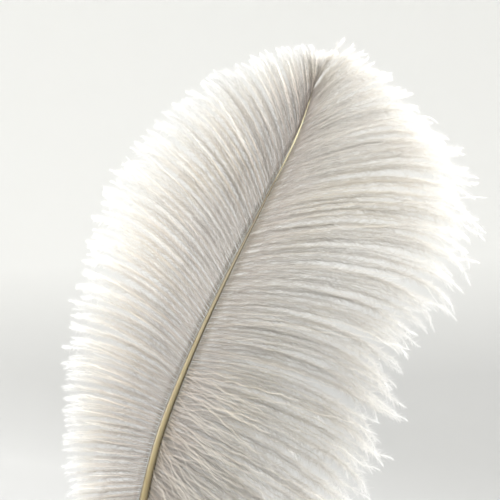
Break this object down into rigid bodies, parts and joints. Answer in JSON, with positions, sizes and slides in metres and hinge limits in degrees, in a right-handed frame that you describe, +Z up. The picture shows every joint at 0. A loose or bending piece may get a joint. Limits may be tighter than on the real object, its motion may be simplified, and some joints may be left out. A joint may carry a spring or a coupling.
{
  "type": "ostrich feather plume",
  "caption": "White ostrich feather plume standing on its cut quill, with a wide full vane on the right, a narrower one on the left and a tip that bends back.",
  "frame": {"origin": "centre of the quill's cut lower end", "axes": "+Z up along the bare quill, +X towards the wider vane, -Y out of the smooth back of the shaft, towards the viewer"},
  "size_m": [0.1749, 0.0378, 0.3263],
  "materials": {
    "quill": "smooth horny keratin, translucent straw yellow, soft gloss",
    "shaft": "olive-gold keratin with a cream highlight and a dark groove side",
    "pulp": "dry papery membrane",
    "pith": "dry white keratin foam",
    "barbs": "bleached white barbs with long loose barbules, soft and fluffy, translucent at the rim",
    "down": "short cream down"
  },
  "bodies": {
    "root": {"calamus": "quill", "pulp_caps": "pulp", "rachis_cortex": "shaft", "rachis_pith": "pith", "down_tuft_left": "down", "barb_lock_left_01": "barbs", "barb_lock_left_02": "barbs", "barb_lock_left_03": "barbs", "barb_lock_left_04": "barbs", "barb_lock_left_05": "barbs", "barb_lock_left_06": "barbs", "barb_lock_left_07": "barbs", "barb_lock_left_08": "barbs", "barb_lock_left_09": "barbs", "barb_lock_left_10": "barbs", "barb_lock_left_11": "barbs", "barb_lock_left_12": "barbs", "barb_lock_left_13": "barbs", "barb_lock_left_14": "barbs", "barb_lock_left_15": "barbs", "barb_lock_left_16": "barbs", "barb_lock_left_17": "barbs", "barb_lock_left_18": "barbs", "barb_lock_left_19": "barbs", "down_tuft_right": "down", "barb_lock_right_01": "barbs", "barb_lock_right_02": "barbs", "barb_lock_right_03": "barbs", "barb_lock_right_04": "barbs", "barb_lock_right_05": "barbs", "barb_lock_right_06": "barbs", "barb_lock_right_07": "barbs", "barb_lock_right_08": "barbs", "barb_lock_right_09": "barbs", "barb_lock_right_10": "barbs", "barb_lock_right_11": "barbs", "barb_lock_right_12": "barbs", "barb_lock_right_13": "barbs", "barb_lock_right_14": "barbs", "barb_lock_right_15": "barbs", "barb_lock_right_16": "barbs", "barb_lock_right_17": "barbs", "barb_lock_right_18": "barbs", "barb_lock_right_19": "barbs", "barb_tuft_tip": "barbs"}
  },
  "joints": []
}
